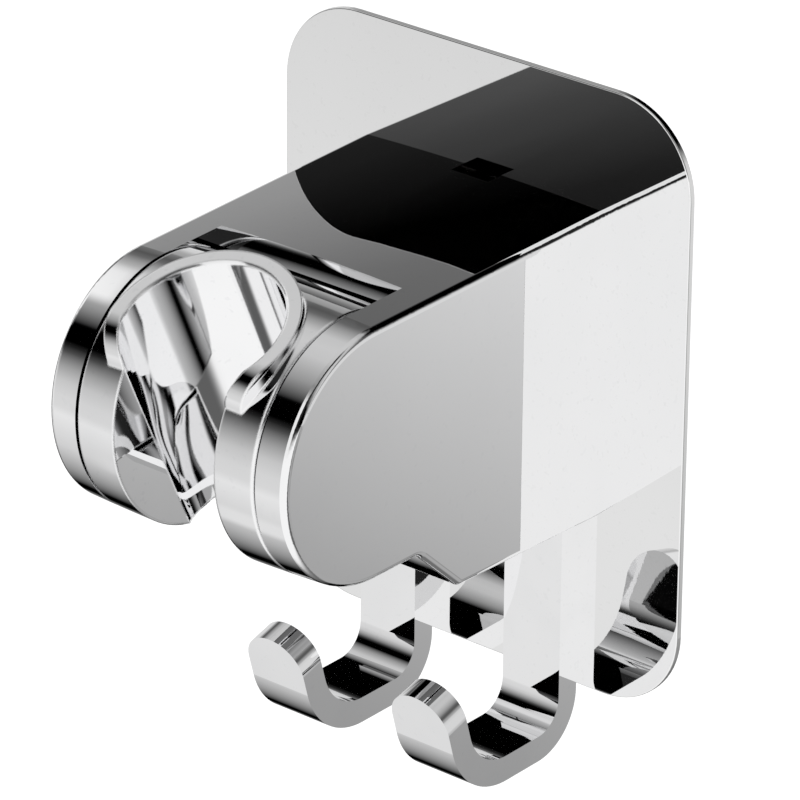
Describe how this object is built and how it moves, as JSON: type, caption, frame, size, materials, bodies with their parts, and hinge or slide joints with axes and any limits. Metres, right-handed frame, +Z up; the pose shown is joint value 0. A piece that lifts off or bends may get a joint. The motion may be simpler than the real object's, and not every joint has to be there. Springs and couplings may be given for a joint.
{
  "type": "hand shower holder",
  "caption": "Wall holder for a hand shower: chromed body with a tilting open socket between two ears, on a mirror plate with a pair of J hooks below.",
  "frame": {"origin": "middle of the adhesive pad's back face, on the wall", "axes": "+Z up, +Y into the wall, so the socket faces -Y; +X to the right as seen from the room"},
  "size_m": [0.072, 0.0686, 0.1012],
  "materials": {
    "shell_chrome": "bright plated moulding",
    "cradle_chrome": "bright plated moulding",
    "plate_chrome": "mirror polished sheet",
    "hook_chrome": "bright plated bar",
    "pad_foam": "foam tape",
    "inner_plastic": "moulded",
    "bracket_plastic": "moulded",
    "screw_steel": "plated",
    "spring_steel": "rolled strip",
    "bush_plastic": "moulded",
    "ring_rubber": "moulded"
  },
  "bodies": {
    "root": {"body_shell": "shell_chrome", "wall_plate": "plate_chrome", "left_hook": "hook_chrome", "right_hook": "hook_chrome", "adhesive_pad": "pad_foam", "mount_bracket": "bracket_plastic", "bracket_screws": "screw_steel", "hook_screws": "screw_steel", "catch_spring": "spring_steel", "catch_screw": "screw_steel", "left_ear_plate": "inner_plastic", "right_ear_plate": "inner_plastic", "left_ear_screws": "screw_steel", "right_ear_screws": "screw_steel", "left_pivot_pin": "screw_steel", "right_pivot_pin": "screw_steel", "left_friction_ring": "ring_rubber", "right_friction_ring": "ring_rubber"},
    "cradle": {"cradle": "cradle_chrome", "left_pivot_bush": "bush_plastic", "right_pivot_bush": "bush_plastic"}
  },
  "joints": [
    {"name": "tilt", "type": "hinge", "parent": "root", "child": "cradle", "pos_m": [0, -0.0497, 0.0085], "axis": [1, 0, 0], "range_deg": [-10, 40]}
  ]
}
